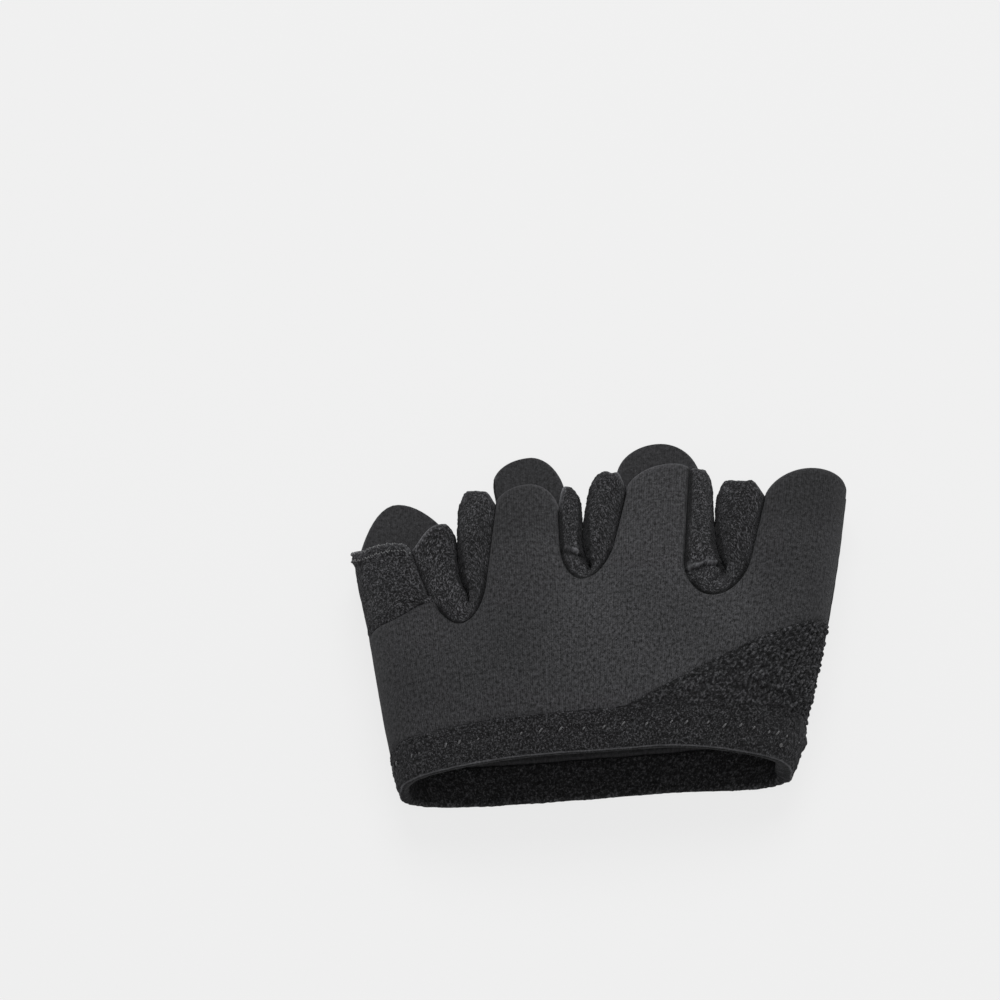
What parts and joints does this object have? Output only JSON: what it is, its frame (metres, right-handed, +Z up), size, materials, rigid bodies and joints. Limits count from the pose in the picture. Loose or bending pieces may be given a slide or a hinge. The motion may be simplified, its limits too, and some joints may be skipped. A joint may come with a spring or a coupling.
{
  "type": "fitness glove",
  "caption": "Left-hand thumbless, fingerless fitness glove in knit and suede, with a padded palm and raised grips, lying palm down.",
  "frame": {"origin": "bottom centre of the bounding box, on the surface that the palm lies on", "axes": "+X towards the index finger, +Y towards the fingertips, +Z up out of the back of the hand"},
  "size_m": [0.1034, 0.0832, 0.0271],
  "materials": {
    "back_knit": "fine heathered charcoal stretch knit",
    "coarse_knit": "coarse nubby charcoal rib knit",
    "mesh_knit": "coarse diagonal mesh knit with open pores",
    "cuff_hem": "smooth dark stretch hem with small slanted stitches",
    "palm_suede": "black microfibre suede, fine matt nap",
    "silicone": "raised satin silicone print, dark grey"
  },
  "bodies": {
    "root": {"palm_panel": "palm_suede", "back_panel": "back_knit", "little_finger_patch": "coarse_knit", "mesh_gusset": "mesh_knit", "cuff_band": "cuff_hem", "fourchette_ring_little": "coarse_knit", "fourchette_middle_ring": "coarse_knit", "fourchette_index_middle": "coarse_knit", "palm_pad": "palm_suede", "honeycomb_grip": "silicone", "grip_line_little_1": "silicone", "grip_line_little_2": "silicone", "grip_line_little_3": "silicone", "grip_line_little_4": "silicone", "grip_line_little_5": "silicone", "grip_line_little_6": "silicone", "grip_line_little_7": "silicone", "grip_line_little_8": "silicone", "grip_line_ring_1": "silicone", "grip_line_ring_2": "silicone", "grip_line_ring_3": "silicone", "grip_line_ring_4": "silicone", "grip_line_ring_5": "silicone", "grip_line_ring_6": "silicone", "grip_line_ring_7": "silicone", "grip_line_ring_8": "silicone", "grip_line_middle_1": "silicone", "grip_line_middle_2": "silicone", "grip_line_middle_3": "silicone", "grip_line_middle_4": "silicone", "grip_line_middle_5": "silicone", "grip_line_middle_6": "silicone", "grip_line_middle_7": "silicone", "grip_line_middle_8": "silicone", "grip_line_index_1": "silicone", "grip_line_index_2": "silicone", "grip_line_index_3": "silicone", "grip_line_index_4": "silicone", "grip_line_index_5": "silicone", "grip_line_index_6": "silicone", "grip_line_index_7": "silicone", "grip_line_index_8": "silicone"}
  },
  "joints": []
}
